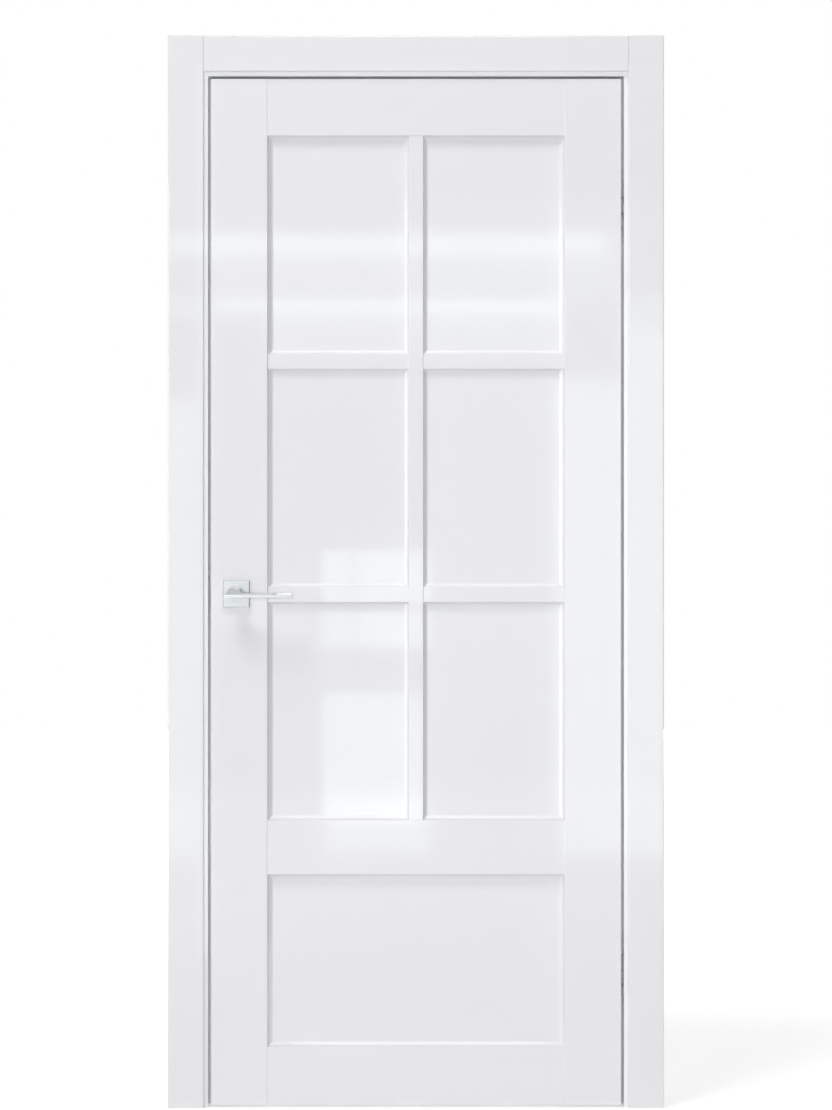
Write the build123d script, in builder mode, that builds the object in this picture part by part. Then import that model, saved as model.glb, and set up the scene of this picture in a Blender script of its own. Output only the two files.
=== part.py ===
from build123d import *
from math import radians, tan
import os

os.makedirs("parts", exist_ok=True)

# Panelled interior door set: a white leaf hung flush in a rebated frame with
# casings on both faces of the wall, a lever handle on each side and concealed hinges.
# The viewer stands at -Y. +X is the hinge side, +Z is up, z = 0 is the floor.
# The origin is on the wall side of the hinge jamb, at floor level and mid depth.

# Leaf
leaf_width = 800.0
leaf_height = 2000.0
leaf_thickness = 40.0
leaf_arris = 1.5
leading_edge_bevel = 1.6
floor_gap = 5.0
side_gap = 5.0
head_gap = 5.0

# How far a cut starts outside the stock, and how near two equal places must be
cut_margin = 2.0
same_place = 0.01

# Leaf framing, measured on the flat faces between the mouldings
stile_width = 110.0
top_rail_height = 110.0
mid_rail_height = 106.0
bottom_rail_height = 113.0
lower_opening_height = 336.0
muntin_width = 28.0
bar_height = 30.0
bar_rows = 2

# How far each kind of member lies behind the stiles' face
rail_step = 1.5
muntin_step = 3.0
bar_step = 5.0

# Moulded edge and panels
moulding_width = 10.0
moulding_land = 1.0
moulding_hollow = 2.2
moulding_arris = 1.2
panel_thickness = 12.0
groove_depth = 4.0
panel_float = 0.5

# Frame
jamb_depth = 80.0
lip_thickness = 30.0
stop_projection = 12.0
stop_gap = 8.0
jamb_arris = 1.5
casing_width = 70.0
casing_thickness = 10.0
casing_setback = 8.0
casing_arris = 3.0

# Seal in the rebate
seal_width = 8.0
seal_height = 3.0
seal_stem_width = 2.5
seal_stem_depth = 5.0

# Concealed hinges: curved arms that run in arc slots about the swing axis
axis_offset = 5.0
arm_radius = 24.0
arm_thickness = 6.0
arm_half_span = 63.0
arm_height = 18.0
arm_pitch = 30.0
arm_count = 3
arm_clearance = 0.4
slot_end_angle = 4.0
housing_front_wall = 2.0
housing_width = 25.0
housing_depth = 27.5
housing_height = 130.0
hinge_end_distance = 250.0

# Lock edge and strike
backset = 50.0
handle_height = 1001.5
forend_width = 18.0
forend_height = 200.0
forend_thickness = 3.0
latch_width = 10.0
latch_height = 26.0
latch_depth = 30.0
strike_width = 20.0
strike_height = 90.0
strike_thickness = 2.0
strike_pocket_width = 14.0
strike_pocket_height = 34.0
strike_pocket_depth = 14.0

# Handle
rosette_size = 52.0
rosette_thickness = 8.0
rosette_arris = 1.0
collar_radius = 15.5
collar_height = 3.0
neck_radius = 7.5
neck_clearance = 0.1
neck_standoff = 1.0
spindle_side = 8.0
spindle_grip = 25.0
spindle_hole_radius = 9.0
lever_projection = 58.0
lever_length = 110.5
lever_tail = 20.5
lever_face_low = -7.5
lever_face_high = -1.3
lever_top = 2.6
lever_depth = 12.0
lever_slope_depth = 5.0
head_top = 9.2
head_depth = 23.0
head_slope_depth = 15.0
head_reach = 9.5
head_bevel = 7.3
head_bevel_low = -3.3
lever_arris = 1.2

# Places worked out from the sizes
front_y = -jamb_depth / 2
rear_y = jamb_depth / 2
leaf_mid_y = front_y + leaf_thickness / 2
leaf_rear_y = front_y + leaf_thickness
stop_y = leaf_rear_y + stop_gap
lip_x = -lip_thickness
leaf_right = lip_x - side_gap
leaf_left = leaf_right - leaf_width
latch_lip_x = leaf_left - side_gap
latch_outer_x = latch_lip_x - lip_thickness
leaf_bottom = floor_gap
leaf_top = leaf_bottom + leaf_height
head_lip_z = leaf_top + head_gap
head_top_z = head_lip_z + lip_thickness
casing_top = head_lip_z + casing_setback + casing_width
hinge_casing_edge = lip_x + casing_setback
latch_casing_edge = latch_lip_x - casing_setback

opening_left = leaf_left + stile_width
opening_right = leaf_right - stile_width
opening_width = opening_right - opening_left
lower_opening_low = leaf_bottom + bottom_rail_height
mid_rail_low = lower_opening_low + lower_opening_height
upper_opening_low = mid_rail_low + mid_rail_height
upper_opening_high = leaf_top - top_rail_height
upper_opening_height = upper_opening_high - upper_opening_low
pane_height = (upper_opening_height - bar_rows * bar_height) / (bar_rows + 1)
pane_width = (opening_width - muntin_width) / 2
muntin_x = (opening_left + opening_right) / 2

swing_x = lip_x - side_gap / 2
swing_y = front_y - axis_offset
handle_x = leaf_left + backset

panel_half = panel_thickness / 2
leaf_half = leaf_thickness / 2
tongue_reach = groove_depth - panel_float


def keep(builder, name):
    """Labels a finished piece and writes its file."""
    builder.part.label = name
    export_step(builder.part, f"parts/{name}.step")
    return builder.part


def lip_width(step):
    """Width of the hollow moulding on a member that lies step behind the stiles."""
    full_rise = leaf_half - panel_half - moulding_land
    return moulding_width * (full_rise - step) / full_rise


def member_section(face_width, step, moulded_sides):
    """Draws a framing member's section: core, moulded lips and panel grooves."""
    half = leaf_half - step
    lip = lip_width(step)
    hollow = moulding_hollow * lip / moulding_width
    Rectangle(face_width, 2 * half)
    for side in moulded_sides:
        edge = side * face_width / 2
        tip = edge + side * lip
        for face in (-1, 1):
            top = (edge, face * half)
            land = (tip, face * (panel_half + moulding_land))
            with BuildLine() as lip_outline:
                SagittaArc(top, land, -side * face * hollow)
                Polyline(land, (tip, face * panel_half), (edge, face * panel_half), top)
            make_face(lip_outline.edges())
        with Locations((edge + side * (lip - groove_depth) / 2, 0)):
            Rectangle(lip + groove_depth, panel_thickness, mode=Mode.SUBTRACT)


def soften(member, step, run_axis, width_axis, centre, face_width, moulded_sides):
    """Rounds the arrises where a member's flat faces turn into its mouldings."""
    half = leaf_half - step
    for side in moulded_sides:
        edge_place = centre + side * face_width / 2
        lines = member.edges().filter_by(run_axis)
        arrises = [
            line
            for line in lines
            if abs(getattr(line.center(), width_axis) - edge_place) < same_place
            and abs(abs(line.center().Y - leaf_mid_y) - half) < same_place
        ]
        fillet(arrises, radius=moulding_arris)


def upright_plane(x, z):
    """Plan-view plane for members that run upwards from height z."""
    return Plane(origin=(x, leaf_mid_y, z), x_dir=(1, 0, 0), z_dir=(0, 0, 1))


def level_plane(x, z):
    """Side-view plane for members that run towards +X from x, centred on height z."""
    return Plane(origin=(x, leaf_mid_y, z), x_dir=(0, 0, 1), z_dir=(1, 0, 0))


def facing_plane(x, y, z):
    """Front-view plane whose normal points at the viewer."""
    return Plane(origin=(x, y, z), x_dir=(1, 0, 0), z_dir=(0, -1, 0))


# Hinge places and the outline that both halves of a hinge share
hinge_heights = {
    "lower": leaf_bottom + hinge_end_distance,
    "upper": leaf_top - hinge_end_distance,
}
housing_centre_y = front_y + housing_front_wall + housing_width / 2
slot_inner = arm_radius - arm_thickness / 2 - arm_clearance
slot_outer = arm_radius + arm_thickness / 2 + arm_clearance
arm_levels = [(i - (arm_count - 1) / 2) * arm_pitch for i in range(arm_count)]


def housing_plane(side, z):
    """Plane on the jamb's edge (side 1) or the leaf's edge (side -1), normal inwards."""
    face_x = swing_x + side * side_gap / 2
    return Plane(origin=(face_x, housing_centre_y, z), x_dir=(0, 1, 0), z_dir=(side, 0, 0))


def cut_mortises(side):
    """Cuts the round-ended mortises for the hinge halves into a jamb or stile."""
    for height in hinge_heights.values():
        with BuildSketch(housing_plane(side, height)) as outline:
            SlotOverall(housing_height, housing_width, rotation=90)
        extrude(outline.sketch, amount=housing_depth, mode=Mode.SUBTRACT)


# Stiles run the full height of the leaf
with BuildPart() as lock_stile:
    with BuildSketch(upright_plane(leaf_left + stile_width / 2, leaf_bottom)):
        member_section(stile_width, 0, [1])
    extrude(amount=leaf_height)
    soften(lock_stile, 0, Axis.Z, "X", leaf_left + stile_width / 2, stile_width, [1])
    # The leading edge leans back so that its rear corner clears the jamb as it swings
    with BuildSketch(Plane.XY.offset(leaf_bottom)):
        Polygon(
            (leaf_left - cut_margin, front_y),
            (leaf_left, front_y),
            (leaf_left + leading_edge_bevel, leaf_rear_y),
            (leaf_left - cut_margin, leaf_rear_y),
        )
    extrude(amount=leaf_height, mode=Mode.SUBTRACT)
    outer_arrises = lock_stile.edges().filter_by(Axis.Z).sort_by(Axis.X)[:2]
    fillet(outer_arrises, radius=leaf_arris)
    # Seat of the forend, room for the latch and the hole for the spindle
    lock_edge = Plane(
        origin=(leaf_left, leaf_mid_y, handle_height), x_dir=(0, -1, 0), z_dir=(-1, 0, 0)
    )
    with BuildSketch(lock_edge.offset(cut_margin)):
        Rectangle(forend_width, forend_height)
    seat_depth = forend_thickness + leading_edge_bevel
    extrude(amount=-(cut_margin + seat_depth), mode=Mode.SUBTRACT)
    with BuildSketch(lock_edge):
        Rectangle(latch_width, latch_height)
    extrude(amount=-latch_depth, mode=Mode.SUBTRACT)
    with BuildSketch(facing_plane(handle_x, front_y, handle_height)):
        Circle(spindle_hole_radius)
    extrude(amount=-leaf_thickness, mode=Mode.SUBTRACT)
keep(lock_stile, "lock_stile")

with BuildPart() as hinge_stile:
    with BuildSketch(upright_plane(leaf_right - stile_width / 2, leaf_bottom)):
        member_section(stile_width, 0, [-1])
    extrude(amount=leaf_height)
    soften(hinge_stile, 0, Axis.Z, "X", leaf_right - stile_width / 2, stile_width, [-1])
    outer_arrises = hinge_stile.edges().filter_by(Axis.Z).sort_by(Axis.X)[-2:]
    fillet(outer_arrises, radius=leaf_arris)
    cut_mortises(-1)
keep(hinge_stile, "hinge_stile")

# Rails fit between the stiles, tongued into their grooves and coped over their mouldings
rail_rows = {
    "bottom_rail": (leaf_bottom, bottom_rail_height, [1]),
    "mid_rail": (mid_rail_low, mid_rail_height, [-1, 1]),
    "top_rail": (upper_opening_high, top_rail_height, [-1]),
}
rails = {}
for rail_name, (rail_low, rail_height, rail_sides) in rail_rows.items():
    rail_centre = rail_low + rail_height / 2
    with BuildPart() as rail:
        with BuildSketch(level_plane(opening_left - tongue_reach, rail_centre)):
            member_section(rail_height, rail_step, rail_sides)
        extrude(amount=opening_width + 2 * tongue_reach)
        soften(rail, rail_step, Axis.X, "Z", rail_centre, rail_height, rail_sides)
        add(lock_stile.part, mode=Mode.SUBTRACT)
        add(hinge_stile.part, mode=Mode.SUBTRACT)
    rails[rail_name] = keep(rail, rail_name)

# The vertical muntin runs from the mid rail to the top rail
with BuildPart() as vertical_muntin:
    with BuildSketch(upright_plane(muntin_x, upper_opening_low - tongue_reach)):
        member_section(muntin_width, muntin_step, [-1, 1])
    extrude(amount=upper_opening_height + 2 * tongue_reach)
    soften(vertical_muntin, muntin_step, Axis.Z, "X", muntin_x, muntin_width, [-1, 1])
    add(rails["mid_rail"], mode=Mode.SUBTRACT)
    add(rails["top_rail"], mode=Mode.SUBTRACT)
keep(vertical_muntin, "vertical_muntin")

# Short bars cross each column between a stile and the muntin
columns = {
    "left": (opening_left, lock_stile.part),
    "right": (opening_right - pane_width, hinge_stile.part),
}
row_names = ["lower", "upper"]
for row, row_name in enumerate(row_names):
    bar_centre = upper_opening_low + (row + 1) * pane_height + (row + 0.5) * bar_height
    for column_name, (column_x, stile_part) in columns.items():
        with BuildPart() as bar:
            with BuildSketch(level_plane(column_x - tongue_reach, bar_centre)):
                member_section(bar_height, bar_step, [-1, 1])
            extrude(amount=pane_width + 2 * tongue_reach)
            soften(bar, bar_step, Axis.X, "Z", bar_centre, bar_height, [-1, 1])
            add(stile_part, mode=Mode.SUBTRACT)
            add(vertical_muntin.part, mode=Mode.SUBTRACT)
        keep(bar, f"{row_name}_{column_name}_bar")


def panel(name, x, z, width, height):
    """A flat panel held in the grooves round its opening."""
    with BuildPart() as sheet:
        with BuildSketch(facing_plane(x + width / 2, leaf_mid_y, z + height / 2)):
            Rectangle(width + 2 * tongue_reach, height + 2 * tongue_reach)
        extrude(amount=panel_half, both=True)
    keep(sheet, name)


for row, row_name in enumerate(["bottom", "middle", "top"]):
    pane_low = upper_opening_low + row * (pane_height + bar_height)
    for column_name, (column_x, _) in columns.items():
        panel(f"{row_name}_{column_name}_panel", column_x, pane_low, pane_width, pane_height)
panel("lower_panel", opening_left, lower_opening_low, opening_width, lower_opening_height)

# Lock forend, set flush into the leading edge, and the latch drawn in behind it
with BuildPart() as lock_forend:
    with BuildSketch(lock_edge.offset(-leading_edge_bevel)):
        Rectangle(forend_width, forend_height)
        Rectangle(latch_width, latch_height, mode=Mode.SUBTRACT)
    extrude(amount=-forend_thickness)
keep(lock_forend, "lock_forend")

with BuildPart() as latch_bolt:
    with BuildSketch(lock_edge.offset(-leading_edge_bevel)):
        Rectangle(latch_width, latch_height)
    extrude(amount=-(latch_depth - leading_edge_bevel))
keep(latch_bolt, "latch_bolt")

# The frame's three sides: a board beside the leaf and a stop planted on it, both mitred
# at the top corners. Each side is drawn as the hinge side and turned to its place.
frame_sides = {
    "hinge": {
        "plane": Plane.XY,
        "length": head_top_z,
        "across": lambda place: place.X,
        "mitres": [(0, (-1, 0, 1))],
    },
    "latch": {
        "plane": Plane(origin=(latch_outer_x, 0, 0), x_dir=(-1, 0, 0), z_dir=(0, 0, -1)),
        "length": -head_top_z,
        "across": lambda place: latch_outer_x - place.X,
        "mitres": [(latch_outer_x, (1, 0, 1))],
    },
    "head": {
        "plane": Plane(origin=(0, 0, head_top_z), x_dir=(0, 0, 1), z_dir=(-1, 0, 0)),
        "length": -latch_outer_x,
        "across": lambda place: place.Z - head_top_z,
        "mitres": [(0, (1, 0, -1)), (latch_outer_x, (-1, 0, -1))],
    },
}
lip_face = -lip_thickness
stop_face = lip_face - stop_projection
seal_centre = (lip_face + stop_face) / 2


def board_section():
    """Draws a jamb board's section: wall side on x = 0, inwards along -x, depth along y."""
    with Locations((lip_face / 2, 0)):
        Rectangle(lip_thickness, jamb_depth)


def stop_section():
    """Draws the stop on the board's rear part, with the kerf for the seal."""
    Polygon((lip_face, stop_y), (stop_face, stop_y), (stop_face, rear_y), (lip_face, rear_y))
    with Locations((seal_centre, stop_y + seal_stem_depth / 2)):
        Rectangle(seal_stem_width, seal_stem_depth, mode=Mode.SUBTRACT)


def seal_section():
    """Draws the seal: a stem in the stop's kerf and a domed lip towards the leaf."""
    with Locations((seal_centre, stop_y)):
        Rectangle(seal_stem_width, seal_stem_depth, align=(Align.CENTER, Align.MIN))
    dome_left = seal_centre - seal_width / 2
    dome_right = seal_centre + seal_width / 2
    with BuildLine() as dome:
        Line((dome_left, stop_y), (dome_right, stop_y))
        ThreePointArc(
            (dome_right, stop_y), (seal_centre, stop_y - seal_height), (dome_left, stop_y)
        )
    make_face(dome.edges())


def frame_member(member, side, draw_section, arris_spots):
    """Extrudes a section along one side of the frame, rounds its arrises and mitres it."""
    place = frame_sides[side]
    with BuildSketch(place["plane"]) as outline:
        draw_section()
    extrude(outline.sketch, amount=place["length"])
    run_axis = Axis.X if side == "head" else Axis.Z
    arrises = [
        line
        for line in member.edges().filter_by(run_axis)
        for across, depth in arris_spots
        if abs(place["across"](line.center()) - across) < same_place
        and abs(line.center().Y - depth) < same_place
    ]
    if arrises:
        fillet(arrises, radius=jamb_arris)
    for corner_x, beyond in place["mitres"]:
        corner = Plane(origin=(corner_x, 0, head_top_z), x_dir=(0, 1, 0), z_dir=beyond)
        split(bisect_by=corner, keep=Keep.BOTTOM)


strike_plane = Plane(
    origin=(latch_lip_x, leaf_mid_y, handle_height), x_dir=(0, 1, 0), z_dir=(1, 0, 0)
)
board_arrises = [(lip_face, front_y)]
stop_arrises = [(stop_face, stop_y), (stop_face, rear_y)]
seal_runs = []
for side in frame_sides:
    with BuildPart() as jamb:
        frame_member(jamb, side, board_section, board_arrises)
        if side == "hinge":
            cut_mortises(1)
        if side == "latch":
            with BuildSketch(strike_plane):
                Rectangle(strike_width, strike_height)
            extrude(amount=-strike_thickness, mode=Mode.SUBTRACT)
            with BuildSketch(strike_plane):
                Rectangle(strike_pocket_width, strike_pocket_height)
            extrude(amount=-strike_pocket_depth, mode=Mode.SUBTRACT)
    keep(jamb, f"{side}_jamb")

    with BuildPart() as stop:
        frame_member(stop, side, stop_section, stop_arrises)
    keep(stop, f"{side}_stop")

    with BuildPart() as seal_run:
        frame_member(seal_run, side, seal_section, [])
    seal_runs.append(seal_run.part)

# One rubber seal runs round all three sides
with BuildPart() as frame_seal:
    add(seal_runs)
keep(frame_seal, "frame_seal")

# Strike plate let into the latch jamb
with BuildPart() as strike_plate:
    with BuildSketch(strike_plane):
        Rectangle(strike_width, strike_height)
        Rectangle(strike_pocket_width, strike_pocket_height, mode=Mode.SUBTRACT)
    extrude(amount=-strike_thickness)
keep(strike_plate, "strike_plate")


def casing(name, plane, length, wall_face):
    """A flat casing board with rounded front arrises, extruded along its length."""
    with BuildPart() as board:
        with BuildSketch(plane):
            Rectangle(casing_width, casing_thickness, align=(Align.MIN, Align.MIN))
        extrude(amount=length)
        long_axis = Axis.X if plane.z_dir.X else Axis.Z
        outward = -1 if wall_face < 0 else 1
        arrises = [
            line
            for line in board.edges().filter_by(long_axis)
            if abs(line.center().Y - wall_face - outward * casing_thickness) < same_place
        ]
        fillet(arrises, radius=casing_arris)
    keep(board, name)


casing_faces = {"front": (front_y, front_y - casing_thickness), "rear": (rear_y, rear_y)}
for face_name, (wall_face, low_y) in casing_faces.items():
    hinge_side = Plane(origin=(hinge_casing_edge, low_y, 0), x_dir=(1, 0, 0), z_dir=(0, 0, 1))
    casing(f"{face_name}_hinge_casing", hinge_side, casing_top, wall_face)
    latch_side = Plane(
        origin=(latch_casing_edge - casing_width, low_y, 0), x_dir=(1, 0, 0), z_dir=(0, 0, 1)
    )
    casing(f"{face_name}_latch_casing", latch_side, casing_top, wall_face)
    over_head = Plane(
        origin=(hinge_casing_edge, low_y, casing_top - casing_width),
        x_dir=(0, 0, 1),
        z_dir=(-1, 0, 0),
    )
    casing(f"{face_name}_head_casing", over_head, hinge_casing_edge - latch_casing_edge, wall_face)

# Hinge halves in the jamb and the leaf, with the arc slots for the arms
for height_name, height in hinge_heights.items():
    for half_name, side in {"frame": 1, "leaf": -1}.items():
        with BuildPart() as housing:
            with BuildSketch(housing_plane(side, height)):
                SlotOverall(housing_height, housing_width, rotation=90)
            extrude(amount=housing_depth)
            for level in arm_levels:
                slot_low = height + level - arm_height / 2 - arm_clearance
                with BuildSketch(
                    Plane(origin=(swing_x, swing_y, slot_low), x_dir=(1, 0, 0), z_dir=(0, 0, 1))
                ):
                    Circle(slot_outer)
                    Circle(slot_inner, mode=Mode.SUBTRACT)
                    reach = 2 * slot_outer
                    end_rise = reach / tan(radians(arm_half_span + slot_end_angle))
                    Polygon((0, 0), (side * reach, end_rise), (0, reach), mode=Mode.INTERSECT)
                extrude(amount=arm_height + 2 * arm_clearance, mode=Mode.SUBTRACT)
        keep(housing, f"{height_name}_hinge_{half_name}_half")

    # The arms turn half as far as the leaf, so they stay engaged in both halves
    with BuildPart() as arms:
        for level in arm_levels:
            arm_low = height + level - arm_height / 2
            with BuildSketch(
                Plane(origin=(swing_x, swing_y, arm_low), x_dir=(1, 0, 0), z_dir=(0, 0, 1))
            ):
                Circle(arm_radius + arm_thickness / 2)
                Circle(arm_radius - arm_thickness / 2, mode=Mode.SUBTRACT)
                reach = 2 * arm_radius
                end_rise = reach / tan(radians(arm_half_span))
                Polygon(
                    (0, 0),
                    (reach, end_rise),
                    (reach, reach),
                    (-reach, reach),
                    (-reach, end_rise),
                    mode=Mode.INTERSECT,
                )
            extrude(amount=arm_height)
    keep(arms, f"{height_name}_hinge_arms")


# Handle: a square rosette with a round collar on each face, and a lever that turns in it
def outward_plane(face):
    """Front-view plane on the leaf's face: -1 the viewer's side, 1 the far side."""
    face_y = front_y if face < 0 else leaf_rear_y
    return Plane(origin=(handle_x, face_y, handle_height), x_dir=(1, 0, 0), z_dir=(0, face, 0))


def lever_profile(face, top, slope_depth, back_depth):
    """Side-view outline of the lever: an upright front face, then a slope back to the top."""
    tip_y = face_level(face, lever_projection)
    Polygon(
        (tip_y, handle_height + lever_face_low),
        (tip_y, handle_height + lever_face_high),
        (face_level(face, lever_projection - slope_depth), handle_height + top),
        (face_level(face, lever_projection - back_depth), handle_height + top),
        (face_level(face, lever_projection - back_depth), handle_height + lever_face_low),
    )


def face_level(face, distance):
    """The y of a point at a distance in front of the leaf's face on that side."""
    face_y = front_y if face < 0 else leaf_rear_y
    return face_y + face * distance


for face_name, face in {"front": -1, "rear": 1}.items():
    plane = outward_plane(face)
    with BuildPart() as rosette:
        with BuildSketch(plane):
            Rectangle(rosette_size, rosette_size)
        extrude(amount=rosette_thickness)
        outer_rim = rosette.faces().sort_by(Axis.Y)[0 if face < 0 else -1].edges()
        chamfer(outer_rim, length=rosette_arris)
        with BuildSketch(plane.offset(rosette_thickness)):
            Circle(collar_radius)
        extrude(amount=collar_height)
        with BuildSketch(plane):
            Circle(neck_radius + neck_clearance)
        extrude(amount=rosette_thickness + collar_height, mode=Mode.SUBTRACT)
    keep(rosette, f"{face_name}_rosette")

    with BuildPart() as lever:
        with BuildSketch(Plane.YZ.offset(handle_x - lever_tail)):
            lever_profile(face, lever_top, lever_slope_depth, lever_depth)
        extrude(amount=lever_tail + lever_length)
        with BuildSketch(Plane.YZ.offset(handle_x - lever_tail)):
            lever_profile(face, head_top, head_slope_depth, head_depth)
        extrude(amount=lever_tail + head_reach)
        # The tail is cut back on a slant
        with BuildSketch(Plane.XZ.offset(-face_level(face, 0))):
            Polygon(
                (handle_x - lever_tail, handle_height + head_bevel_low),
                (handle_x - lever_tail + head_bevel, handle_height + head_top),
                (handle_x - lever_tail, handle_height + head_top),
            )
        extrude(amount=-face * lever_projection, mode=Mode.SUBTRACT)
        # The bar's end and its lower edges are softened to the hand
        tip_face = lever.faces().sort_by(Axis.X)[-1]
        lower_face = lever.faces().sort_by(Axis.Z)[0]
        soft_edges = lower_face.edges().filter_by(Axis.X) + tip_face.edges()
        fillet(soft_edges, radius=lever_arris)
        # The neck turns in the rosette and grips the end of the spindle
        with BuildSketch(plane.offset(neck_standoff)):
            Circle(neck_radius)
        extrude(amount=lever_projection - lever_depth - neck_standoff)
        with BuildSketch(plane.offset(neck_standoff)):
            Rectangle(spindle_side, spindle_side)
        extrude(amount=spindle_grip, mode=Mode.SUBTRACT)
    keep(lever, f"{face_name}_lever")

with BuildPart() as spindle:
    with BuildSketch(facing_plane(handle_x, leaf_mid_y, handle_height)):
        Rectangle(spindle_side, spindle_side)
    extrude(amount=leaf_half + neck_standoff + spindle_grip, both=True)
keep(spindle, "spindle")
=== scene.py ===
# %% [markdown]
# # A white panelled door in its frame
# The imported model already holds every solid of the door: the framed leaf, the frame
# round it, the casings and the handle. This lesson dresses it. It gives each solid a
# finish that is worked out from its place in space, adds the small fixings that are
# too fine for the solids, and lights the door as a white lacquered thing wants to be
# lit. Nothing is scaled or moved, because one unit here is one metre of the real door.

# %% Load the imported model
import math

import bmesh
import bpy
from mathutils import Matrix, Vector


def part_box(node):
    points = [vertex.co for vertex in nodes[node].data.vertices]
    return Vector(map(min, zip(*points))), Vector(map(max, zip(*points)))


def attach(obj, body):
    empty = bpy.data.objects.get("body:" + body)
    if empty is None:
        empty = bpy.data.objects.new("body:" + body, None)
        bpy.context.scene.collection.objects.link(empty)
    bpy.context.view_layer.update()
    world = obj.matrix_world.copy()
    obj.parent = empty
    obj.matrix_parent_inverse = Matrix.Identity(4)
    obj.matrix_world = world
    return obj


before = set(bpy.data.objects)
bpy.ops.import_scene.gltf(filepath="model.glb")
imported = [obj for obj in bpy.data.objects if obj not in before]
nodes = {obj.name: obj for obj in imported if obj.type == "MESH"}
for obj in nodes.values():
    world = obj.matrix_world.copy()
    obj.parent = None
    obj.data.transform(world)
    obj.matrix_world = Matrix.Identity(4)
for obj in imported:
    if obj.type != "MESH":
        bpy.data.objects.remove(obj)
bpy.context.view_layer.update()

# %% [markdown]
# ## The camera
# The photograph looks straight at the door and shows hardly any perspective: the
# recesses look the same on the left and on the right. That means a long lens far
# away. Any distance would do if the focal length grows with it, so the distance is
# chosen first and the lens follows from how many millimetres one pixel covers.

# %% Place the camera
IMAGE_WIDTH = 832
IMAGE_HEIGHT = 1110
CASING_TOP_ROW = 35.5
METRES_PER_PIXEL = 0.001946
CAMERA_DISTANCE = 6.0
SENSOR_MILLIMETRES = 36.0

casing_low, casing_high = (Vector(c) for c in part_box("front_head_casing"))
hinge_casing_high = Vector(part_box("front_hinge_casing")[1])
latch_casing_low = Vector(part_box("front_latch_casing")[0])
door_centre_x = (latch_casing_low.x + hinge_casing_high.x) / 2
casing_front_y = casing_low.y
eye_height = casing_high.z - (IMAGE_HEIGHT / 2 - CASING_TOP_ROW) * METRES_PER_PIXEL
picture_height = IMAGE_HEIGHT * METRES_PER_PIXEL

camera_data = bpy.data.cameras.new("door_camera")
camera = bpy.data.objects.new("door_camera", camera_data)
bpy.context.scene.collection.objects.link(camera)
camera.location = (door_centre_x, casing_front_y - CAMERA_DISTANCE, eye_height)
camera.rotation_euler = (math.radians(90), 0, 0)
camera_data.sensor_fit = "VERTICAL"
camera_data.sensor_height = SENSOR_MILLIMETRES
camera_data.lens = camera_data.sensor_height * CAMERA_DISTANCE / picture_height
bpy.context.scene.camera = camera
print("lens", round(camera_data.lens, 2), "mm at eye height", round(eye_height, 3), "m")

# %% [markdown]
# ## Building shaders from words
# Every finish below is a handful of nodes. Writing out each link would bury the idea,
# so four small helpers do it: one adds a node and sets its plain values, one joins
# two sockets, one starts a material with its Principled BSDF ready, and one starts a
# node group with named inputs and outputs.

# %% Helpers for node trees


def add_node(tree, kind, **values):
    """Adds a node and sets its attributes, or its inputs where a name has capitals."""
    node = tree.nodes.new(kind)
    for name, value in values.items():
        if hasattr(node, name):
            setattr(node, name, value)
        else:
            node.inputs[name.replace("_", " ")].default_value = value
    return node


def join(tree, source, output, target, socket):
    """Links an output of one node to an input of another, by name or by number."""
    tree.links.new(source.outputs[output], target.inputs[socket])


def start_material(name, **values):
    """Makes a material whose shader has the given plain values."""
    material = bpy.data.materials.new(name)
    material.use_nodes = True
    shader = material.node_tree.nodes["Principled BSDF"]
    for socket, value in values.items():
        shader.inputs[socket.replace("_", " ")].default_value = value
    return material, material.node_tree, shader


def start_group(name, inputs, outputs):
    """Makes a node group with named sockets. Inputs come as name: (kind, value)."""
    group = bpy.data.node_groups.new(name, "ShaderNodeTree")
    for label, (kind, value) in inputs.items():
        socket = group.interface.new_socket(label, in_out="INPUT", socket_type=kind)
        socket.default_value = value
    for label, kind in outputs.items():
        group.interface.new_socket(label, in_out="OUTPUT", socket_type=kind)
    entry = group.nodes.new("NodeGroupInput")
    leave = group.nodes.new("NodeGroupOutput")
    return group, entry, leave


FLOAT = "NodeSocketFloat"
COLOUR = "NodeSocketColor"
VECTOR = "NodeSocketVector"
print("socket kinds", FLOAT, COLOUR, VECTOR)

# %% [markdown]
# ## Sprayed lacquer
# The whole door is coated with several layers of white lacquer, flatted and polished.
# Up close a sprayed film is never quite flat: it has ripples a centimetre or so
# across, which bend the reflections of the lamps, and its tone drifts very slightly
# over a large board. A photograph of real paint could be mapped on, but it would
# repeat and would need unwrapping. Noise that is read at the surface's own place in
# space needs neither. All the white boards share the group and differ in its values.

# %% Helpers for the finish groups
NOISE_MIDDLE = 0.5


def drifting_tone(group, entry, leave, noise):
    """Makes the group's tone a little lighter and darker as a noise goes up and down."""
    from_middle = add_node(group, "ShaderNodeMath", operation="SUBTRACT")
    from_middle.inputs[1].default_value = NOISE_MIDDLE
    join(group, noise, "Fac", from_middle, 0)
    drift = add_node(group, "ShaderNodeMath", operation="MULTIPLY_ADD")
    drift.inputs[2].default_value = 1.0
    join(group, from_middle, 0, drift, 0)
    join(group, entry, "Tone Drift", drift, 1)
    tinted = add_node(group, "ShaderNodeVectorMath", operation="SCALE")
    join(group, entry, "Tone", tinted, 0)
    join(group, drift, 0, tinted, "Scale")
    join(group, tinted, 0, leave, "Color")


def wandering_roughness(group, entry, leave, noise, swing, base):
    """Sets the roughness to one input plus a noise times another."""
    wander = add_node(group, "ShaderNodeMath", operation="MULTIPLY_ADD", use_clamp=True)
    join(group, noise, "Fac", wander, 0)
    join(group, entry, swing, wander, 1)
    join(group, entry, base, wander, 2)
    join(group, wander, 0, leave, "Roughness")


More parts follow.
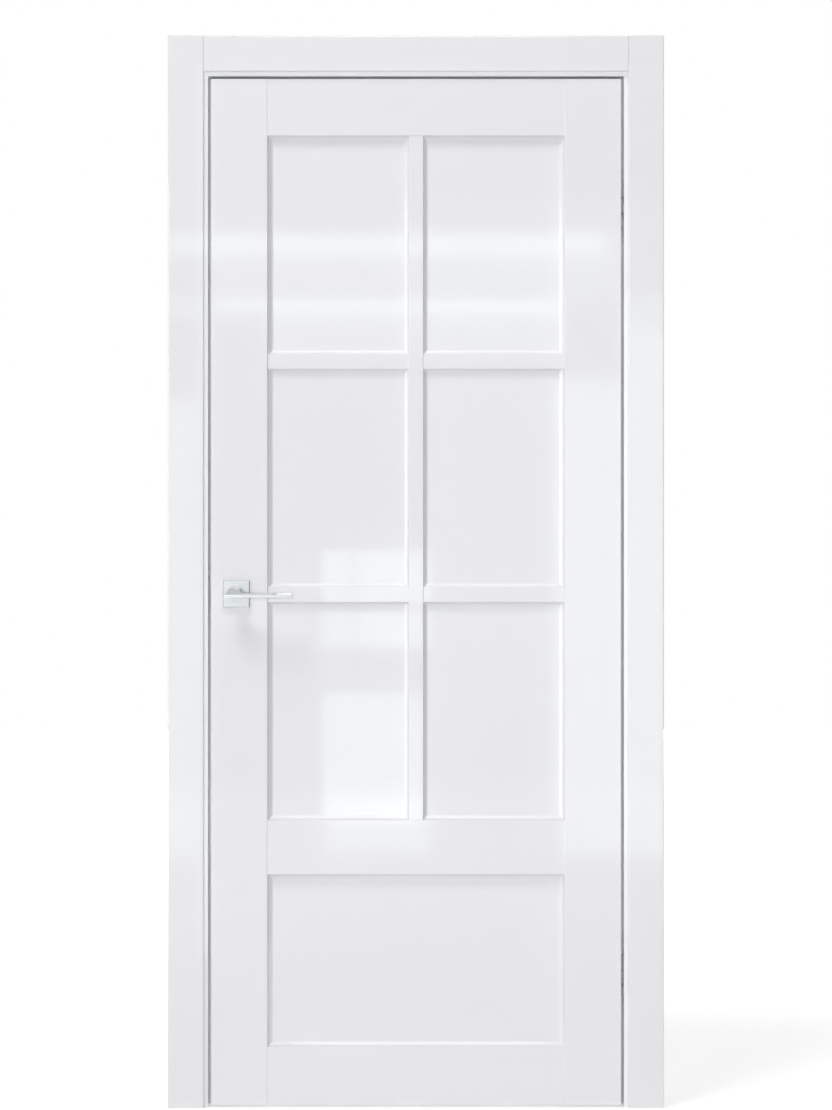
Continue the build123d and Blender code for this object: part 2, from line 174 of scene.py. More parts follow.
def uneven_normal(group, entry, leave, noise, height):
    """Lets a noise push the surface in and out by the height that an input gives."""
    bump = add_node(group, "ShaderNodeBump")
    join(group, noise, "Fac", bump, "Height")
    join(group, entry, height, bump, "Distance")
    join(group, bump, "Normal", leave, "Normal")


print("tones drift about a noise of", NOISE_MIDDLE)

# %% The lacquer group
lacquer, entry, leave = start_group(
    "sprayed_lacquer",
    {
        "Tone": (COLOUR, (0.8, 0.8, 0.8, 1)),
        "Tone Drift": (FLOAT, 0.02),
        "Ripple Scale": (FLOAT, 90.0),
        "Ripple Height": (FLOAT, 0.00002),
        "Gloss": (FLOAT, 0.3),
        "Gloss Drift": (FLOAT, 0.05),
    },
    {"Color": COLOUR, "Roughness": FLOAT, "Normal": VECTOR},
)
place = add_node(lacquer, "ShaderNodeTexCoord")
slow = add_node(lacquer, "ShaderNodeTexNoise", Scale=2.2, Detail=3.0, Roughness=0.55)
join(lacquer, place, "Object", slow, "Vector")
drifting_tone(lacquer, entry, leave, slow)

haze = add_node(lacquer, "ShaderNodeTexNoise", Scale=7.0, Detail=4.0, Roughness=0.6)
join(lacquer, place, "Object", haze, "Vector")
wandering_roughness(lacquer, entry, leave, haze, "Gloss Drift", "Gloss")

ripple = add_node(lacquer, "ShaderNodeTexNoise", Detail=2.0, Roughness=0.4)
join(lacquer, place, "Object", ripple, "Vector")
join(lacquer, entry, "Ripple Scale", ripple, "Scale")
uneven_normal(lacquer, entry, leave, ripple, "Ripple Height")
print("group", lacquer.name, [s.name for s in lacquer.interface.items_tree])

# %% [markdown]
# ## White finishes
# Boards that were planed and sprayed flat, such as the casings, carry a smoother film
# than the thin panels, whose faces ripple a little more. So each kind of board gets its
# own values of ripple and gloss. The jambs and stops are a shade lighter than the rest.
# That lighter tone is painted light: it makes the narrow gaps round the leaf, where
# little light reaches, a little less dark. The coat of clear lacquer on top is the
# shader's own Coat, with plain values on its own sockets.

# %% Make the white materials
WHITE = (0.79, 0.787, 0.806, 1.0)
# The jambs' lighter tone is painted light, which brightens the shadowed gaps round the leaf.
JAMB_WHITE_PAINTED_LIGHT = (0.83, 0.828, 0.84, 1.0)


def place_group(tree, shader, group, **values):
    """Puts a finish group into a material, sets its inputs and joins it to the shader."""
    finish = add_node(tree, "ShaderNodeGroup", node_tree=group)
    for socket, value in values.items():
        finish.inputs[socket.replace("_", " ")].default_value = value
    join(tree, finish, "Color", shader, "Base Color")
    join(tree, finish, "Roughness", shader, "Roughness")
    join(tree, finish, "Normal", shader, "Normal")


def white_lacquer(name, tone, ripple_scale, ripple_height, gloss):
    """A white lacquer with the given tone, ripple and gloss."""
    material, tree, shader = start_material(name, IOR=1.45, Coat_Weight=1.0, Coat_Roughness=0.05)
    place_group(
        tree, shader, lacquer,
        Tone=tone, Ripple_Scale=ripple_scale, Ripple_Height=ripple_height, Gloss=gloss,
    )
    return material


# Tone, ripple scale, ripple height and gloss of each kind of board
films = {
    "leaf_lacquer": (WHITE, 70.0, 0.00002, 0.3),
    "panel_lacquer": (WHITE, 45.0, 0.00003, 0.28),
    # The frame's lighter tone is painted light for the gaps round the leaf.
    "frame_lacquer": (JAMB_WHITE_PAINTED_LIGHT, 80.0, 0.00002, 0.35),
    "casing_lacquer": (WHITE, 60.0, 0.00002, 0.3),
}
whites = {name: white_lacquer(name, *film) for name, film in films.items()}
print("white finishes", sorted(whites))

# %% [markdown]
# ## Metals
# The lever is polished and plated, and its rosette has a duller plating. Such metal
# has no colour of its own beyond a faint tint: what is seen is the room in it. Plates
# let into the edges are brushed steel, the hinge bodies are cast and blasted, their
# arms are blacked, the spindle is turned and the screws are zinc plated. All seven are
# one idea with different values: a fine grain, stretched into streaks on some, that
# tilts the surface a little, and a roughness that wanders as if from touching.

# %% The metal group
metal_skin, entry, leave = start_group(
    "metal_skin",
    {
        "Tone": (COLOUR, (0.7, 0.7, 0.7, 1)),
        "Tone Drift": (FLOAT, 0.05),
        "Streak Scale": (VECTOR, (200.0, 200.0, 200.0)),
        "Streak Height": (FLOAT, 0.00001),
        "Polish": (FLOAT, 0.1),
        "Smudge": (FLOAT, 0.08),
    },
    {"Color": COLOUR, "Roughness": FLOAT, "Normal": VECTOR},
)
place = add_node(metal_skin, "ShaderNodeTexCoord")
stretch = add_node(metal_skin, "ShaderNodeVectorMath", operation="MULTIPLY")
join(metal_skin, place, "Object", stretch, 0)
join(metal_skin, entry, "Streak Scale", stretch, 1)
streaks = add_node(metal_skin, "ShaderNodeTexNoise", Scale=1.0, Detail=4.0, Roughness=0.65)
join(metal_skin, stretch, 0, streaks, "Vector")
drifting_tone(metal_skin, entry, leave, streaks)

touch = add_node(metal_skin, "ShaderNodeTexNoise", Scale=38.0, Detail=5.0, Roughness=0.6)
join(metal_skin, place, "Object", touch, "Vector")
wandering_roughness(metal_skin, entry, leave, touch, "Smudge", "Polish")
uneven_normal(metal_skin, entry, leave, streaks, "Streak Height")
print("group", metal_skin.name, [s.name for s in metal_skin.interface.items_tree])

# %% Make the metal materials
PLATED_GRAIN = (400.0, 400.0, 400.0)
UPRIGHT_STREAKS = (1800.0, 1800.0, 40.0)
LEVEL_STREAKS = (60.0, 60.0, 1600.0)
BLASTED_GRAIN = (1100.0, 1100.0, 1100.0)
ZINC_GRAIN = (900.0, 900.0, 900.0)


def metal(name, tone, grain, height, polish, smudge, drift):
    """A metal whose tone, grain and polish are set on the metal_skin group."""
    material, tree, shader = start_material(name, Metallic=1.0)
    place_group(
        tree, shader, metal_skin,
        Tone=(*tone, 1), Tone_Drift=drift, Streak_Scale=grain, Streak_Height=height,
        Polish=polish, Smudge=smudge,
    )
    return material


# Tone, grain, height of the grain, polish, smudge and drift of the tone
skins = {
    "polished_plate": ((0.555, 0.562, 0.565), PLATED_GRAIN, 0.000001, 0.08, 0.04, 0.02),
    "brushed_upright": ((0.62, 0.63, 0.64), UPRIGHT_STREAKS, 0.000006, 0.24, 0.12, 0.05),
    "turned_steel": ((0.58, 0.59, 0.6), LEVEL_STREAKS, 0.000006, 0.22, 0.12, 0.05),
    "satin_plate": ((0.46, 0.46, 0.46), PLATED_GRAIN, 0.0000005, 0.15, 0.03, 0.02),
    "blacked_steel": ((0.3, 0.3, 0.305), LEVEL_STREAKS, 0.000006, 0.34, 0.12, 0.05),
    "blasted_casting": ((0.66, 0.67, 0.68), BLASTED_GRAIN, 0.00002, 0.36, 0.1, 0.05),
    "zinc_screw": ((0.68, 0.7, 0.72), ZINC_GRAIN, 0.000004, 0.2, 0.15, 0.05),
}
metals = {name: metal(name, *skin) for name, skin in skins.items()}
print("metals", sorted(metals))

# %% [markdown]
# ## The seal
# A soft lip runs round the stop so that the leaf closes quietly. It is a dull, faintly
# pebbled rubber, and it has a pale colour so that it doesn't show in the gap. A fine
# cell pattern bumps the surface, and a slow noise makes the bloom that such rubber has.

# %% Make the rubber
RUBBER_DARK = (0.74, 0.74, 0.74, 1)
RUBBER_PALE = (0.80, 0.80, 0.79, 1)
RUBBER_SMOOTH = 0.55
RUBBER_ROUGH = 0.75


def two_tones(tree, noise, shader, dark, pale, start=0.0, end=1.0):
    """Colours a shader from a dark to a pale tone while a noise goes from start to end."""
    tones = add_node(tree, "ShaderNodeValToRGB")
    tones.color_ramp.elements[0].position = start
    tones.color_ramp.elements[0].color = dark
    tones.color_ramp.elements[1].position = end
    tones.color_ramp.elements[1].color = pale
    join(tree, noise, "Fac", tones, "Fac")
    join(tree, tones, "Color", shader, "Base Color")


rubber, tree, shader = start_material("pale_rubber", IOR=1.5)
place = add_node(tree, "ShaderNodeTexCoord")
pebbles = add_node(tree, "ShaderNodeTexVoronoi", Scale=1400.0)
join(tree, place, "Object", pebbles, "Vector")
relief = add_node(tree, "ShaderNodeBump", Distance=0.00003)
join(tree, pebbles, "Distance", relief, "Height")
join(tree, relief, "Normal", shader, "Normal")
bloom = add_node(tree, "ShaderNodeTexNoise", Scale=30.0, Detail=5.0)
join(tree, place, "Object", bloom, "Vector")
two_tones(tree, bloom, shader, RUBBER_DARK, RUBBER_PALE, 0.3, 0.7)
matt = add_node(tree, "ShaderNodeMapRange")
matt.inputs["To Min"].default_value = RUBBER_SMOOTH
matt.inputs["To Max"].default_value = RUBBER_ROUGH
join(tree, bloom, "Fac", matt, "Value")
join(tree, matt, "Result", shader, "Roughness")
print("rubber", rubber.name)

# %% [markdown]
# ## Handing out the finishes
# Each solid has one material slot. The finish goes into that slot, and the solid's
# mesh stays as it came. The table below reads like a paint shop's job list.

# %% Assign the materials
finishes = {
    whites["leaf_lacquer"]: [
        "lock_stile", "hinge_stile", "top_rail", "mid_rail", "bottom_rail", "vertical_muntin",
        "lower_left_bar", "lower_right_bar", "upper_left_bar", "upper_right_bar",
    ],
    whites["panel_lacquer"]: [
        "bottom_left_panel", "bottom_right_panel", "middle_left_panel", "middle_right_panel",
        "top_left_panel", "top_right_panel", "lower_panel",
    ],
    whites["frame_lacquer"]: [
        "hinge_jamb", "latch_jamb", "head_jamb", "hinge_stop", "latch_stop", "head_stop",
    ],
    whites["casing_lacquer"]: [
        "front_hinge_casing", "front_latch_casing", "front_head_casing",
        "rear_hinge_casing", "rear_latch_casing", "rear_head_casing",
    ],
    metals["polished_plate"]: ["front_lever", "rear_lever"],
    metals["satin_plate"]: ["front_rosette", "rear_rosette"],
    metals["brushed_upright"]: ["lock_forend", "strike_plate", "latch_bolt"],
    metals["turned_steel"]: ["spindle"],
    metals["blacked_steel"]: ["lower_hinge_arms", "upper_hinge_arms"],
    metals["blasted_casting"]: [
        "lower_hinge_frame_half", "lower_hinge_leaf_half",
        "upper_hinge_frame_half", "upper_hinge_leaf_half",
    ],
    rubber: ["frame_seal"],
}
for material, names in finishes.items():
    for name in names:
        nodes[name].material_slots[0].material = material
finished = {name for names in finishes.values() for name in names}
print("finished", len(finished), "still plain", sorted(set(nodes) - finished))

# %% [markdown]
# ## Screws
# Plates and hinge bodies are held by raised countersunk screws with a cross recess.
# A screw head is a shallow dome whose middle is cut by a cross that narrows as it
# goes down. Modelling it as rings of vertices keeps the dome round, and filling the
# flat between the last ring and the cross leaves a real recess with walls, which
# catches light better than a painted cross.

# %% Draw a screw head
DOME_RINGS = [(1.0, 0.0), (0.985, 0.25), (0.9, 0.6), (0.75, 0.85), (0.6, 1.0)]
RING_STEPS = 32
CROSS_HALF_WIDTH = 0.13
CROSS_REACH = 0.5
CROSS_TAPER = 0.55
CROSS_FLOOR = 0.15
SCREW_HEIGHT = 0.0009


def cross_outline(scale, height):
    """The twelve corners of the recess at one depth."""
    w = CROSS_HALF_WIDTH * scale
    r = CROSS_REACH * scale
    corners = [(r, -w), (r, w), (w, w), (w, r), (-w, r), (-w, w)]
    corners += [(-x, -y) for x, y in corners]
    return [Vector((x, y, height)) for x, y in corners]


def add_screw(mesh, centre, outward, radius, turn):
    """Adds one screw head to a mesh, standing on a face with the given normal."""
    frame_of_head = outward.to_track_quat("Z", "Y").to_matrix().to_4x4()
    stand = Matrix.Translation(centre) @ frame_of_head @ Matrix.Rotation(turn, 4, "Z")
    sizes = Matrix.Diagonal((radius, radius, SCREW_HEIGHT, 1))
    rings = []
    for ring_radius, level in DOME_RINGS:
        ring = []
        for step in range(RING_STEPS):
            angle = 2 * math.pi * step / RING_STEPS
            spot = Vector((ring_radius * math.cos(angle), ring_radius * math.sin(angle), level))
            ring.append(mesh.verts.new(stand @ sizes @ spot))
        rings.append(ring)
    for lower, upper in zip(rings, rings[1:]):
        for step in range(RING_STEPS):
            following = (step + 1) % RING_STEPS
            mesh.faces.new((lower[step], lower[following], upper[following], upper[step]))
    rim = [mesh.verts.new(stand @ sizes @ p) for p in cross_outline(1.0, 1.0)]
    floor_line = [
        mesh.verts.new(stand @ sizes @ p) for p in cross_outline(CROSS_TAPER, CROSS_FLOOR)
    ]
    count = len(rim)
    rim_edges = [mesh.edges.new((rim[i], rim[(i + 1) % count])) for i in range(count)]
    top_ring = rings[-1]
    top_edges = [
        mesh.edges.get((top_ring[i], top_ring[(i + 1) % RING_STEPS])) for i in range(RING_STEPS)
    ]
    bmesh.ops.triangle_fill(mesh, edges=top_edges + rim_edges, use_beauty=True)
    for i in range(count):
        following = (i + 1) % count
        mesh.faces.new((rim[i], rim[following], floor_line[following], floor_line[i]))
    mesh.faces.new(floor_line)


print("a screw head has", len(DOME_RINGS), "rings of", RING_STEPS, "steps")

# %% Make a piece of several screws
FIRST_TURN = 0.4
NEXT_TURN = 1.3


def piece_from(name, mesh, material):
    """Makes a piece of the scene from a finished mesh."""
    bmesh.ops.recalc_face_normals(mesh, faces=mesh.faces)
    data = bpy.data.meshes.new(name)
    mesh.to_mesh(data)
    mesh.free()
    data.materials.append(material)
    piece = bpy.data.objects.new(name, data)
    bpy.context.scene.collection.objects.link(piece)
    return piece


def screw_set(name, places, outward, radius, body):
    """Makes one piece of several screws that ride on a body."""
    mesh = bmesh.new()
    for index, spot in enumerate(places):
        turn = FIRST_TURN + NEXT_TURN * index
        add_screw(mesh, Vector(spot), Vector(outward), radius, turn)
    piece = piece_from(name, mesh, metals["zinc_screw"])
    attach(piece, body)
    print("screws", name, len(places))


print("each screw is turned", NEXT_TURN, "radians on from the last")

# %% [markdown]
# The forend has a screw near each end, and so does the strike. Each hinge body has
# one in each rounded end and two adjusters between the slots. Their places come from
# the boxes of the solids, so they follow if a size changes.

# %% Fit the screws
PLATE_SCREW_RADIUS = 0.0042
PLATE_SCREW_MARGIN = 0.014
HINGE_SCREW_RADIUS = 0.0045
HINGE_SCREW_MARGIN = 0.0085
ADJUSTER_RADIUS = 0.0032
ADJUSTER_OFFSET = 0.015


def near_both_ends(face_x, low, high, margin):
    """Two places on a face, one near the lower end of a box and one near the upper."""
    middle_y = (low.y + high.y) / 2
    return [(face_x, middle_y, low.z + margin), (face_x, middle_y, high.z - margin)]


low, high = (Vector(c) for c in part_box("lock_forend"))
places = near_both_ends(low.x, low, high, PLATE_SCREW_MARGIN)
screw_set("forend_screws", places, (-1, 0, 0), PLATE_SCREW_RADIUS, "leaf")
low, high = (Vector(c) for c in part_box("strike_plate"))
places = near_both_ends(high.x, low, high, PLATE_SCREW_MARGIN)
screw_set("strike_screws", places, (1, 0, 0), PLATE_SCREW_RADIUS, "frame")
for height_name in ("lower", "upper"):
    for half_name, body, facing in (("frame", "frame", -1), ("leaf", "leaf", 1)):
        low, high = (Vector(c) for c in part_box(f"{height_name}_hinge_{half_name}_half"))
        face_x = low.x if facing < 0 else high.x
        middle_y = (low.y + high.y) / 2
        middle_z = (low.z + high.z) / 2
        screw_set(
            f"{height_name}_hinge_{half_name}_screws",
            near_both_ends(face_x, low, high, HINGE_SCREW_MARGIN),
            (facing, 0, 0), HINGE_SCREW_RADIUS, body,
        )
        screw_set(
            f"{height_name}_hinge_{half_name}_adjusters",
            [(face_x, middle_y, middle_z + side * ADJUSTER_OFFSET) for side in (-1, 1)],
            (facing, 0, 0), ADJUSTER_RADIUS, body,
        )

# %% [markdown]
# ## Small parts of the handle
# A grub screw under each neck holds the lever on the spindle. A round bead is turned
# on the edge of each collar, and a plain washer lies where the neck enters it. Such
# rings are made like on a lathe: a short profile, turned about the neck's axis. A
# torus would do for the bead alone, but the same few lines make both.

# %% Turn a ring
RING_SEGMENTS = 64


def turned_ring(name, profile, centre, outward, body, material):
    """Turns a closed profile of (radius, distance outwards) points about an axis."""
    mesh = bmesh.new()
    stand = Matrix.Translation(centre) @ outward.to_track_quat("Z", "Y").to_matrix().to_4x4()
    loops = []
    for step in range(RING_SEGMENTS):
        angle = 2 * math.pi * step / RING_SEGMENTS
        loops.append([
            mesh.verts.new(stand @ Vector((r * math.cos(angle), r * math.sin(angle), level)))
            for r, level in profile
        ])
    for here, there in zip(loops, loops[1:] + loops[:1]):
        for i in range(len(profile)):
            j = (i + 1) % len(profile)
            mesh.faces.new((here[i], there[i], there[j], here[j]))
    piece = piece_from(name, mesh, material)
    piece.data.shade_smooth()
    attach(piece, body)


print("a ring has", RING_SEGMENTS, "segments")

# %% Fit the beads, washers and grub screws
COLLAR_RADIUS = 0.0155
BEAD_RADIUS = 0.0006
BEAD_STEPS = 10
WASHER_BORE = 0.0077
WASHER_RIM = 0.0104
WASHER_TOP_RIM = 0.0100
WASHER_UNDERSIDE = -0.0002
WASHER_SHOULDER = 0.0004
WASHER_TOP = 0.0007
GRUB_RADIUS = 0.0022
GRUB_OUTWARDS = 0.007
GRUB_BELOW_AXIS = 0.0073

bead_angles = (2 * math.pi * i / BEAD_STEPS for i in range(BEAD_STEPS))
bead = [
    (COLLAR_RADIUS + BEAD_RADIUS * math.cos(a), BEAD_RADIUS * math.sin(a)) for a in bead_angles
]
washer = [
    (WASHER_BORE, WASHER_UNDERSIDE),
    (WASHER_RIM, WASHER_UNDERSIDE),
    (WASHER_RIM, WASHER_SHOULDER),
    (WASHER_TOP_RIM, WASHER_TOP),
    (WASHER_BORE, WASHER_TOP),
]
for face_name, facing in (("front", -1), ("rear", 1)):
    low, high = (Vector(c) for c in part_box(f"{face_name}_rosette"))
    outward = Vector((0, facing, 0))
    centre = (low + high) / 2
    centre.y = low.y if facing < 0 else high.y
    turned_ring(
        f"{face_name}_collar_bead", bead, centre, outward, "leaf", metals["polished_plate"]
    )
    turned_ring(
        f"{face_name}_neck_washer", washer, centre, outward, "leaf", metals["blasted_casting"]
    )
    under_neck = centre + facing * Vector((0, GRUB_OUTWARDS, 0)) - Vector((0, 0, GRUB_BELOW_AXIS))
    screw_set(f"{face_name}_grub_screw", [under_neck], (0, 0, -1), GRUB_RADIUS, "lever")
print("bead of", len(bead), "points and washer of", len(washer), "on both sides")

# %% [markdown]
# ## The studio
# A glossy white door shows the room it stands in, so the room matters as much as the
# paint. The light on it comes from a dome and four lamps. The dome is brighter to the
# left and above, so it shades every face by the way it looks. A key lamp high in front
# and a little to the left draws the soft shadows inside the recesses. A lamp far behind
# the camera sends nearly level light into the gaps, and a wide lamp behind the door and
# one on the right do the same for the other sides. One lamp alone would be simpler, but
# then the gaps would be black. The floor glows a little for the camera and in
# reflections, and more so further out, so that it looks white and still takes a shadow.

# %% Helpers for the studio


def stage_sheet(name, corners, material):
    """A single flat face with the given corners and material."""
    data = bpy.data.meshes.new(name)
    data.from_pydata(corners, [], [(0, 1, 2, 3)])
    data.materials.append(material)
    sheet = bpy.data.objects.new(name, data)
    bpy.context.scene.collection.objects.link(sheet)
    return sheet


def seen_or_mirrored(tree):
    """One where a ray comes from the camera, a reflection or glass, and nought elsewhere."""
    rays = add_node(tree, "ShaderNodeLightPath")
    either = add_node(tree, "ShaderNodeMath", operation="MAXIMUM")
    join(tree, rays, "Is Camera Ray", either, 0)
    join(tree, rays, "Is Glossy Ray", either, 1)
    any_of_three = add_node(tree, "ShaderNodeMath", operation="MAXIMUM")
    join(tree, either, 0, any_of_three, 0)
    join(tree, rays, "Is Transmission Ray", any_of_three, 1)
    return any_of_three


print("studio helpers", stage_sheet.__name__, seen_or_mirrored.__name__)

# %% Floor
FLOOR_REACH = 13.0
FLOOR_FRONT = 8.0
FLOOR_DARK = (0.84, 0.84, 0.84, 1)
FLOOR_PALE = (0.88, 0.88, 0.88, 1)
NEAR_EDGE = 1.0
FAR_EDGE = 4.0
NEAR_LIFT = 0.47
FAR_LIFT = 0.9

pale_floor, tree, shader = start_material("pale_floor", Roughness=0.7)
grain = add_node(tree, "ShaderNodeTexNoise", Scale=3.0, Detail=3.0)
two_tones(tree, grain, shader, FLOOR_DARK, FLOOR_PALE)
shader.inputs["Emission Color"].default_value = (1, 1, 1, 1)
spot = add_node(tree, "ShaderNodeTexCoord")
reach = add_node(tree, "ShaderNodeVectorMath", operation="LENGTH")
join(tree, spot, "Object", reach, 0)
far_lift = add_node(tree, "ShaderNodeMapRange", interpolation_type="SMOOTHSTEP")
far_lift.inputs["From Min"].default_value = NEAR_EDGE
far_lift.inputs["From Max"].default_value = FAR_EDGE
far_lift.inputs["To Min"].default_value = NEAR_LIFT
far_lift.inputs["To Max"].default_value = FAR_LIFT
join(tree, reach, "Value", far_lift, "Value")
lift = add_node(tree, "ShaderNodeMath", operation="MULTIPLY")
join(tree, far_lift, "Result", lift, 1)
join(tree, seen_or_mirrored(tree), 0, lift, 0)
join(tree, lift, 0, shader, "Emission Strength")
floor_left = door_centre_x - FLOOR_REACH
floor_right = door_centre_x + FLOOR_REACH
stage_sheet(
    "studio_floor",
    [
        (floor_left, -FLOOR_FRONT, 0), (floor_right, -FLOOR_FRONT, 0),
        (floor_right, FLOOR_REACH, 0), (floor_left, FLOOR_REACH, 0),
    ],
    pale_floor,
)
print("floor", 2 * FLOOR_REACH, "m wide")

# %% The dome of light
DOME_STRENGTH = 0.17
DOME_DIRECTION = (-0.83, -0.2, 0.52)
DOME_SHADE = 0.16
DOME_LIGHT = 1.84

world = bpy.data.worlds.new("studio_dome")
bpy.context.scene.world = world
world.use_nodes = True
tree = world.node_tree
tree.nodes.clear()
direction = add_node(tree, "ShaderNodeTexCoord")
towards_light = add_node(tree, "ShaderNodeVectorMath", operation="DOT_PRODUCT")
towards_light.inputs[1].default_value = Vector(DOME_DIRECTION).normalized()
join(tree, direction, "Generated", towards_light, 0)
shade = add_node(tree, "ShaderNodeMapRange")
shade.inputs["From Min"].default_value = -1.0
shade.inputs["From Max"].default_value = 1.0
shade.inputs["To Min"].default_value = DOME_SHADE
shade.inputs["To Max"].default_value = DOME_LIGHT
join(tree, towards_light, "Value", shade, "Value")
grey = add_node(tree, "ShaderNodeCombineColor")
for channel in ("Red", "Green", "Blue"):
    join(tree, shade, "Result", grey, channel)
studio = add_node(tree, "ShaderNodeBackground", Strength=DOME_STRENGTH)
join(tree, grey, "Color", studio, "Color")
plain_white = add_node(tree, "ShaderNodeBackground", Strength=1.0)
plain_white.inputs["Color"].default_value = (1, 1, 1, 1)
choose = add_node(tree, "ShaderNodeMixShader")
join(tree, seen_or_mirrored(tree), 0, choose, 0)
join(tree, studio, 0, choose, 1)
join(tree, plain_white, 0, choose, 2)
out = add_node(tree, "ShaderNodeOutputWorld")
join(tree, choose, 0, out, "Surface")
print("dome strength", DOME_STRENGTH)

# %% Lamps
LOOK_AT_HEIGHT = 1.05
KEY_DIRECTION = (-0.65, -1.0, 2.0)
KEY_DISTANCE = 7.0


def softbox(name, spot, aim, width, height, glow, diffuse=True, glossy=True, tint=(1, 1, 1)):
    """A rectangular lamp that points from one place at another. Glow is its radiance."""
    data = bpy.data.lights.new(name, "AREA")
    data.shape = "RECTANGLE"
    data.size = width
    data.size_y = height
    data.energy = glow * math.pi * width * height
    data.color = tint
    lamp = bpy.data.objects.new(name, data)
    bpy.context.scene.collection.objects.link(lamp)
    lamp.location = spot
    lamp.rotation_euler = (Vector(aim) - Vector(spot)).to_track_quat("-Z", "Y").to_euler()
    lamp.visible_camera = False
    lamp.visible_diffuse = diffuse
    lamp.visible_glossy = glossy


door_middle = Vector((door_centre_x, casing_front_y, LOOK_AT_HEIGHT))
key_spot = door_middle + KEY_DISTANCE * Vector(KEY_DIRECTION).normalized()
front_spot = door_middle + Vector((0, -12.0, 0.2))
rear_spot = door_middle + Vector((0, 13.5, 1.0))
right_spot = (6.0, 1.8, 1.6)
right_aim = (0.0, 0.1, 1.1)
# Where each lamp stands, what it points at, its width, its height and its glow
room_lamps = {
    "key_softbox": (key_spot, door_middle, 2.2, 2.2, 14.2),
    "front_softbox": (front_spot, door_middle, 2.0, 2.0, 41.0),
    "rear_softbox": (rear_spot, door_middle, 6.0, 5.0, 9.0),
    "right_softbox": (right_spot, right_aim, 2.2, 2.4, 9.0),
}
for name, lamp in room_lamps.items():
    softbox(name, *lamp, glossy=False)
print("lamps", sorted(room_lamps))

# %% [markdown]
# The photograph's lacquer mirrors windows and bright lines of a room. A flat mirror
# shows a lamp where the line from the camera meets the door, so each wanted patch on
# the door is thrown outwards from the camera's axis to the plane of the lamps. Lamps
# near the door give crisp patches, since gloss blurs with distance. These lamps are
# seen by reflections only, or they would light the door unevenly. Where two patches
# overlap their light adds up, but only if one lamp stands a little behind the other.
# Daylight through window glass is a little cool, which sets it off from the paint.

# %% Windows for the reflections
CRISP = 2.0
HAZY = 5.0
LAMP_SPACING = 0.02
DAYLIGHT = (0.87, 0.985, 1.0)


def reflected_window(name, left, top, right, bottom, glow, distance):
    """A lamp whose reflection covers a rectangle of the photograph, given in pixels."""
    throw = (CAMERA_DISTANCE + distance) / CAMERA_DISTANCE
    low_x = door_centre_x + throw * (left - IMAGE_WIDTH / 2) * METRES_PER_PIXEL
    high_x = door_centre_x + throw * (right - IMAGE_WIDTH / 2) * METRES_PER_PIXEL
    low_z = eye_height + throw * (IMAGE_HEIGHT / 2 - bottom) * METRES_PER_PIXEL
    high_z = eye_height + throw * (IMAGE_HEIGHT / 2 - top) * METRES_PER_PIXEL
    spot = Vector(((low_x + high_x) / 2, casing_front_y - distance, (low_z + high_z) / 2))
    aim = spot + Vector((0, 1, 0))
    size = (high_x - low_x, high_z - low_z)
    softbox(name, spot, aim, *size, glow, diffuse=False, tint=DAYLIGHT)


# Left, top, right and bottom of each patch in pixels of the picture, and its glow
room_windows = {
    "upper_band": (150, 236, 606, 252, 1.3),
    "upper_band_fade": (150, 229, 606, 262, 0.7),
    "upper_haze": (214, 229, 622, 300, 0.8),
    "second_band": (214, 298, 566, 312, 1.5),
    "second_band_fade": (214, 298, 566, 325, 0.7),
    "lower_haze": (262, 300, 566, 356, 0.8),
    "second_band_left": (150, 298, 198, 318, 1.1),
    "second_band_right": (622, 294, 690, 316, 1.2),
    "centre_window_left": (322, 550, 352, 604, 2.6),
    "centre_window_right": (356, 550, 432, 604, 2.8),
    "centre_window_low_left": (322, 612, 352, 648, 2.0),
    "centre_window_low_right": (356, 612, 432, 648, 2.4),
    "low_window": (322, 694, 425, 824, 2.4),
    "handle_glint": (208, 560, 304, 628, 0.38),
    "lever_glint": (226, 590, 290, 602, 0.16),
    "jamb_glint_left": (203.6, 72, 208.4, 1088, 5.5),
    "jamb_glint_top": (203.6, 72.6, 622, 77, 5.5),
}
room_glows = {
    "left_room": (140, 400, 198, 900, 1.8),
    "right_room": (556, 380, 622, 870, 2.1),
    "right_room_edge": (622, 322, 700, 870, 2.1),
    "right_room_low": (556, 870, 700, 1050, 0.7),
    "right_half": (430, 200, 700, 800, 0.35),
    "window_tail": (326, 800, 432, 900, 1.8),
    "window_tail_low": (326, 880, 440, 1010, 2.4),
}
for patches, nearest in ((room_windows, CRISP), (room_glows, HAZY)):
    for index, (name, patch) in enumerate(patches.items()):
        reflected_window(name, *patch, nearest + index * LAMP_SPACING)
print("windows in the lacquer", len(room_windows), "glows", len(room_glows))
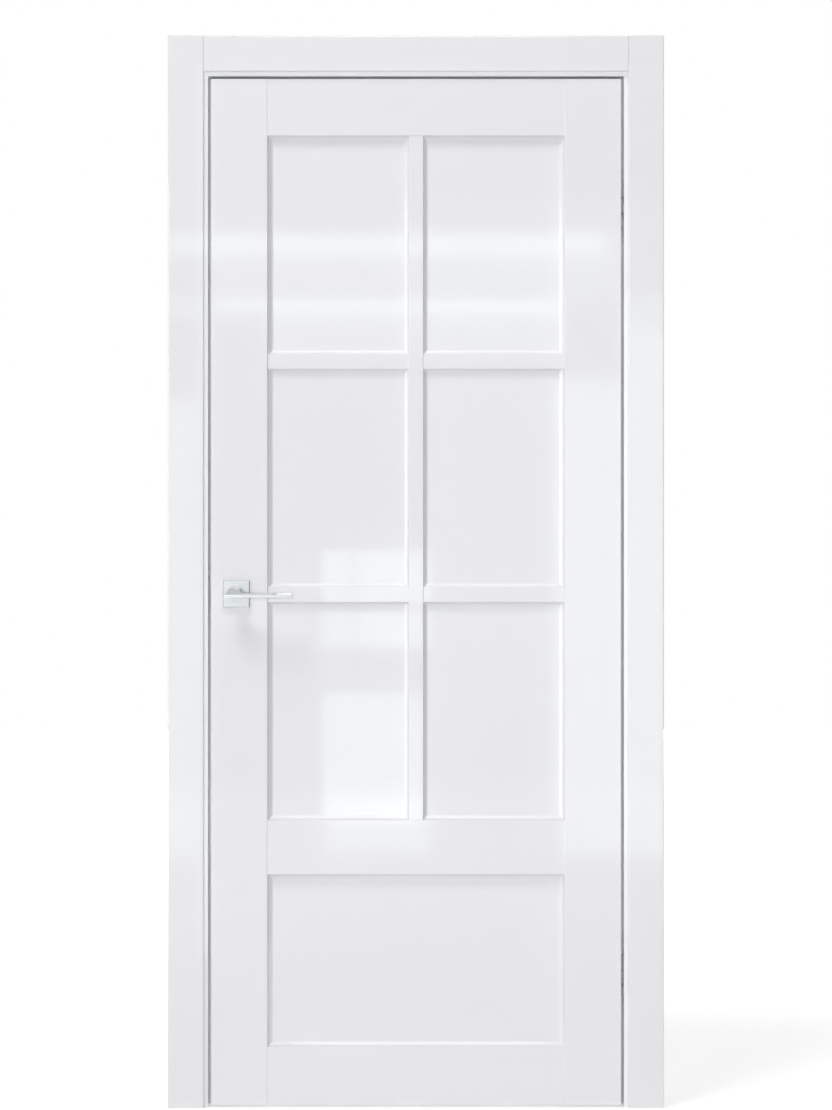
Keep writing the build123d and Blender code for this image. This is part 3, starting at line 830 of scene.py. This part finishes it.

# %% [markdown]
# Plated metal with nothing but white round it would look like paper. Photographers
# stand a black card beside it, so that its edges draw dark lines. This one stands to
# the right of the door and is seen by reflections only. No card stands under the
# handle, so the lower edges of the handle stay light. It hardly darkened them, and it
# stood so near the door that it counted as fitted to it, so it was left out.

# %% The black card
CARD_DARK = (0.015, 0.015, 0.016, 1)
CARD_PALE = (0.03, 0.03, 0.032, 1)
CARD_X = 1.8
CARD_REAR_Y = -0.1
CARD_FRONT_Y = -3.4
CARD_HEIGHT = 2.4

card_black, tree, shader = start_material("card_black", Roughness=0.9)
cloth = add_node(tree, "ShaderNodeTexNoise", Scale=400.0, Detail=2.0)
two_tones(tree, cloth, shader, CARD_DARK, CARD_PALE)
card = stage_sheet(
    "card_right",
    [
        (CARD_X, CARD_REAR_Y, 0.0), (CARD_X, CARD_FRONT_Y, 0.0),
        (CARD_X, CARD_FRONT_Y, CARD_HEIGHT), (CARD_X, CARD_REAR_Y, CARD_HEIGHT),
    ],
    card_black,
)
card.visible_camera = False
card.visible_diffuse = False
card.visible_shadow = False
card.visible_transmission = False
print("card", card.name)

# %% [markdown]
# The hollow mouldings on the right and along the bottom of every recess shine in the
# photograph. The shallow half of such a hollow mirrors what stands to the left of the
# viewer or high above. The steep half only mirrors the panel beside it. So one long
# lamp goes to the left and one overhead, again for reflections only. The one overhead
# is narrow, so that it misses the handle, whose sloping top is darker than its face.

# %% Rim lamps
RIM_GLOW = 3.0
RIM_REACH = 3.6
RIM_FORWARD = 1.9
RIM_LENGTH = 4.4
RIM_LEFT_HEIGHT = 2.4
RIM_TOP_WIDTH = 0.92

left_spot = door_middle + Vector((-RIM_REACH, -RIM_FORWARD, 0.0))
softbox("rim_left", left_spot, door_middle, RIM_LENGTH, RIM_LEFT_HEIGHT, RIM_GLOW, diffuse=False)
top_spot = door_middle + Vector((0.0, -RIM_FORWARD, RIM_REACH))
softbox("rim_top", top_spot, door_middle, RIM_TOP_WIDTH, RIM_LENGTH, RIM_GLOW, diffuse=False)
print("rim lamps with a glow of", RIM_GLOW)

# %% Colour handling
bpy.context.scene.view_settings.view_transform = "Standard"
